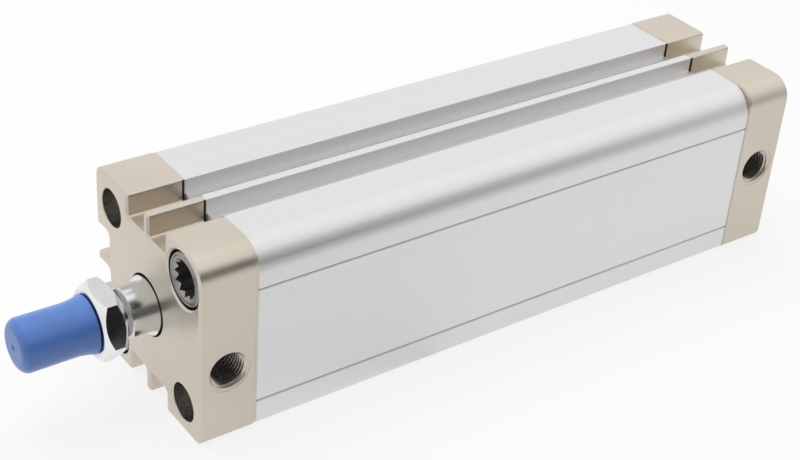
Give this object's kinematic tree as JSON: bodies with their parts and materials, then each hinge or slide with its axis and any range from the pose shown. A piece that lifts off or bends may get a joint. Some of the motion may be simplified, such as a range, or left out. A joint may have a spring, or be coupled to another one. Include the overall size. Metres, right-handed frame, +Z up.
{
  "type": "pneumatic cylinder",
  "caption": "Double-acting air cylinder with a square grooved tube, two bolted end covers, threaded side ports, a chromed piston rod with a lock nut, and a push-on thread cap.",
  "frame": {"origin": "on the rod axis at the front mounting face, the outer face of the front cover", "axes": "+X along the rod axis from the front mounting face towards the rear cover, so the rod comes out towards -X; the flat side with the ports faces -Y; +Z up"},
  "size_m": [0.295, 0.068, 0.068],
  "materials": {
    "cover_paint": "satin, warm off-white coating on cast aluminium",
    "tube_aluminium": "satin anodised, drawn along its length",
    "screw_steel": "turned steel",
    "seal_rubber": "matte",
    "bushing_bronze": "sintered, oiled",
    "bumper_plastic": "soft elastic plastic",
    "piston_aluminium": "turned",
    "magnet_plastic": "bonded magnet, matte",
    "guide_plastic": "smooth",
    "inner_steel": "zinc plated",
    "rod_chrome": "ground and chromed",
    "nut_chrome": "bright plated",
    "cap_plastic": "soft blue plastic, slightly glossy"
  },
  "bodies": {
    "barrel": {"front_cover": "cover_paint", "rear_cover": "cover_paint", "profile_tube": "tube_aluminium", "front_cover_screws": "screw_steel", "rear_cover_screws": "screw_steel", "front_spigot_oring": "seal_rubber", "rear_spigot_oring": "seal_rubber", "rod_bushing": "bushing_bronze", "rod_seal": "seal_rubber", "front_bumper": "bumper_plastic", "rear_bumper": "bumper_plastic"},
    "piston_rings": {"piston_seal_front": "seal_rubber", "piston_seal_rear": "seal_rubber", "piston_guide_ring": "guide_plastic"},
    "rod": {"piston_rod": "rod_chrome", "piston_front_half": "piston_aluminium", "piston_rear_half": "piston_aluminium", "piston_magnet": "magnet_plastic", "rod_oring": "seal_rubber", "piston_washer": "inner_steel", "piston_locknut": "inner_steel"},
    "nut": {"rod_nut": "nut_chrome"},
    "cap": {"thread_cap": "cap_plastic"}
  },
  "joints": [
    {"name": "rod_slide", "type": "slide", "parent": "barrel", "child": "piston_rings", "axis": [-1, 0, 0], "range_m": [0, 0.16]},
    {"name": "rod_turn", "type": "hinge", "parent": "piston_rings", "child": "rod", "pos_m": [0, 0, 0], "axis": [-1, 0, 0], "continuous": true},
    {"name": "nut_turn", "type": "hinge", "parent": "rod", "child": "nut", "pos_m": [-0.0162, 0, 0], "axis": [-1, 0, 0], "continuous": true},
    {"name": "cap_pull", "type": "slide", "parent": "rod", "child": "cap", "axis": [-1, 0, 0], "range_m": [0, 0.03]}
  ]
}
